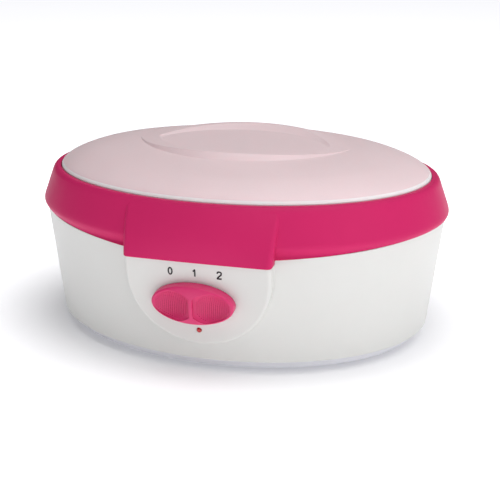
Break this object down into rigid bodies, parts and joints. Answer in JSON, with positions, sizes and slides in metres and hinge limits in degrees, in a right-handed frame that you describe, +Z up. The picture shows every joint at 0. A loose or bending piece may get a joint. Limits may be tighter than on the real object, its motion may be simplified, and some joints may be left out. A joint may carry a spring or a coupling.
{
  "type": "paraffin wax bath",
  "caption": "Oval electric paraffin wax bath: heated metal tub in a tapered housing with a trim ring, lift-off domed lid and a front slide switch with pilot lamp.",
  "frame": {"origin": "centre of the oval on the surface that the feet stand on", "axes": "+X along the long side of the oval, -Y through the front panel, +Z up"},
  "size_m": [0.296, 0.239, 0.138],
  "materials": {
    "base_plastic": "light grey",
    "block_plastic": "natural polyamide",
    "brass_pins": "tinned brass",
    "felt": "needled mineral felt",
    "foot_rubber": "dark grey",
    "fuse_case": "axial can",
    "gland_plastic": "off-white nylon",
    "guard_plastic": "natural white",
    "heater_mica": "red-brown silicone heater",
    "knob_plastic": "satin deep pink",
    "lamp_body": "white nylon",
    "lamp_red": "red lens",
    "lid_plastic": "satin frosted, very slightly pink",
    "screw_steel": "zinc plated",
    "sheet_steel": "zinc plated",
    "shell_plastic": "satin off-white",
    "silicone": "translucent white",
    "switch_black": "black nylon",
    "thermo_case": "phenolic",
    "trim_plastic": "satin deep pink",
    "tub_metal": "spun, anodised",
    "wire_blue": "silicone insulation",
    "wire_red": "silicone insulation",
    "wire_white": "silicone insulation"
  },
  "bodies": {
    "bath": {"base_pan": "base_plastic", "base_screws": "screw_steel", "cable_gland": "gland_plastic", "control_thermostat": "thermo_case", "gland_lock_nut": "gland_plastic", "hand_guard": "guard_plastic", "heater_clamp_plate": "sheet_steel", "heater_pad": "heater_mica", "housing": "shell_plastic", "insulation_blanket": "felt", "pilot_lamp_case": "lamp_body", "pilot_lamp_lens": "lamp_red", "rubber_feet": "foot_rubber", "safety_thermostat": "thermo_case", "stud_nuts": "screw_steel", "switch_case": "switch_black", "switch_screws": "screw_steel", "switch_terminals": "brass_pins", "terminal_block": "block_plastic", "terminal_clamp_screws": "screw_steel", "terminal_fixing_screws": "screw_steel", "thermal_fuse": "fuse_case", "thermostat_clips": "sheet_steel", "trim_ring": "trim_plastic", "trim_screws": "screw_steel", "tub": "tub_metal", "tub_seal": "silicone", "wire_heater": "wire_white", "wire_lamp_feed": "wire_white", "wire_lamp_return": "wire_blue", "wire_link": "wire_white", "wire_neutral": "wire_blue", "wire_supply": "wire_red", "wire_switched": "wire_red", "wire_to_fuse": "wire_white"},
    "lid": {"lid": "lid_plastic"},
    "knob": {"slide_knob": "knob_plastic"}
  },
  "joints": [
    {"name": "lid_lift", "type": "slide", "parent": "bath", "child": "lid", "axis": [0, 0, 1], "range_m": [0, 0.12]},
    {"name": "knob_slide", "type": "slide", "parent": "bath", "child": "knob", "axis": [1, 0, 0], "range_m": [-0.007, 0.007]}
  ]
}
